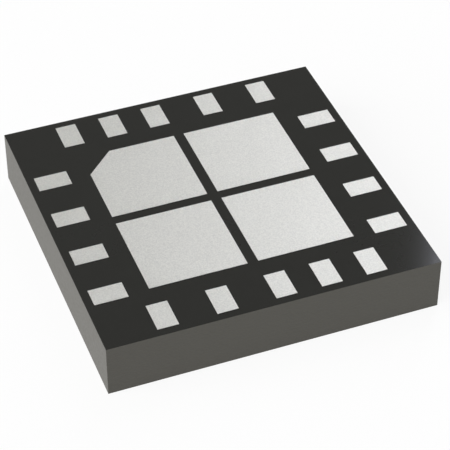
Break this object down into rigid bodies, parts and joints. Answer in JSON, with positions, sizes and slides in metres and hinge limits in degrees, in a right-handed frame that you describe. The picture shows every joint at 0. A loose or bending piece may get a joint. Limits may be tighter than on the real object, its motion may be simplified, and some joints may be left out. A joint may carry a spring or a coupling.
{
  "type": "land grid array chip package",
  "caption": "Square laminate chip package with a moulded cap, perimeter solder lands, four ground lands and a wire-bonded die inside.",
  "frame": {"origin": "centre of the cap's outer face, on which the package lies", "axes": "+Z from the cap to the lands, at right angles to the package; +X and +Y along its sides, with the index corner and terminal 1 at -X +Y"},
  "size_m": [0.004, 0.004, 0.0007],
  "materials": {
    "mold_compound": "dark silica-filled epoxy, sawn sides",
    "laminate": "black glass and resin, sawn sides",
    "solder_mask": "smooth black photo-imaged mask",
    "plated_copper": "light grey matt nickel, palladium and gold plating on copper",
    "silicon": "polished silicon with a passivated face",
    "die_attach_epoxy": "silver-filled epoxy",
    "gold": "drawn gold wire"
  },
  "bodies": {
    "root": {"bond_wire_01": "gold", "bond_wire_02": "gold", "bond_wire_03": "gold", "bond_wire_04": "gold", "bond_wire_05": "gold", "bond_wire_06": "gold", "bond_wire_07": "gold", "bond_wire_08": "gold", "bond_wire_09": "gold", "bond_wire_10": "gold", "bond_wire_11": "gold", "bond_wire_12": "gold", "bond_wire_13": "gold", "bond_wire_14": "gold", "bond_wire_15": "gold", "bond_wire_16": "gold", "bond_wire_17": "gold", "bond_wire_18": "gold", "die": "silicon", "die_attach": "die_attach_epoxy", "die_paddle": "plated_copper", "die_side_mask": "solder_mask", "ground_land_1": "plated_copper", "ground_land_2": "plated_copper", "ground_land_3": "plated_copper", "ground_land_4": "plated_copper", "laminate_core": "laminate", "land_side_mask": "solder_mask", "mold_cap": "mold_compound", "terminal_01": "plated_copper", "terminal_02": "plated_copper", "terminal_03": "plated_copper", "terminal_04": "plated_copper", "terminal_05": "plated_copper", "terminal_06": "plated_copper", "terminal_07": "plated_copper", "terminal_08": "plated_copper", "terminal_09": "plated_copper", "terminal_10": "plated_copper", "terminal_11": "plated_copper", "terminal_12": "plated_copper", "terminal_13": "plated_copper", "terminal_14": "plated_copper", "terminal_15": "plated_copper", "terminal_16": "plated_copper", "terminal_17": "plated_copper", "terminal_18": "plated_copper"}
  },
  "joints": []
}
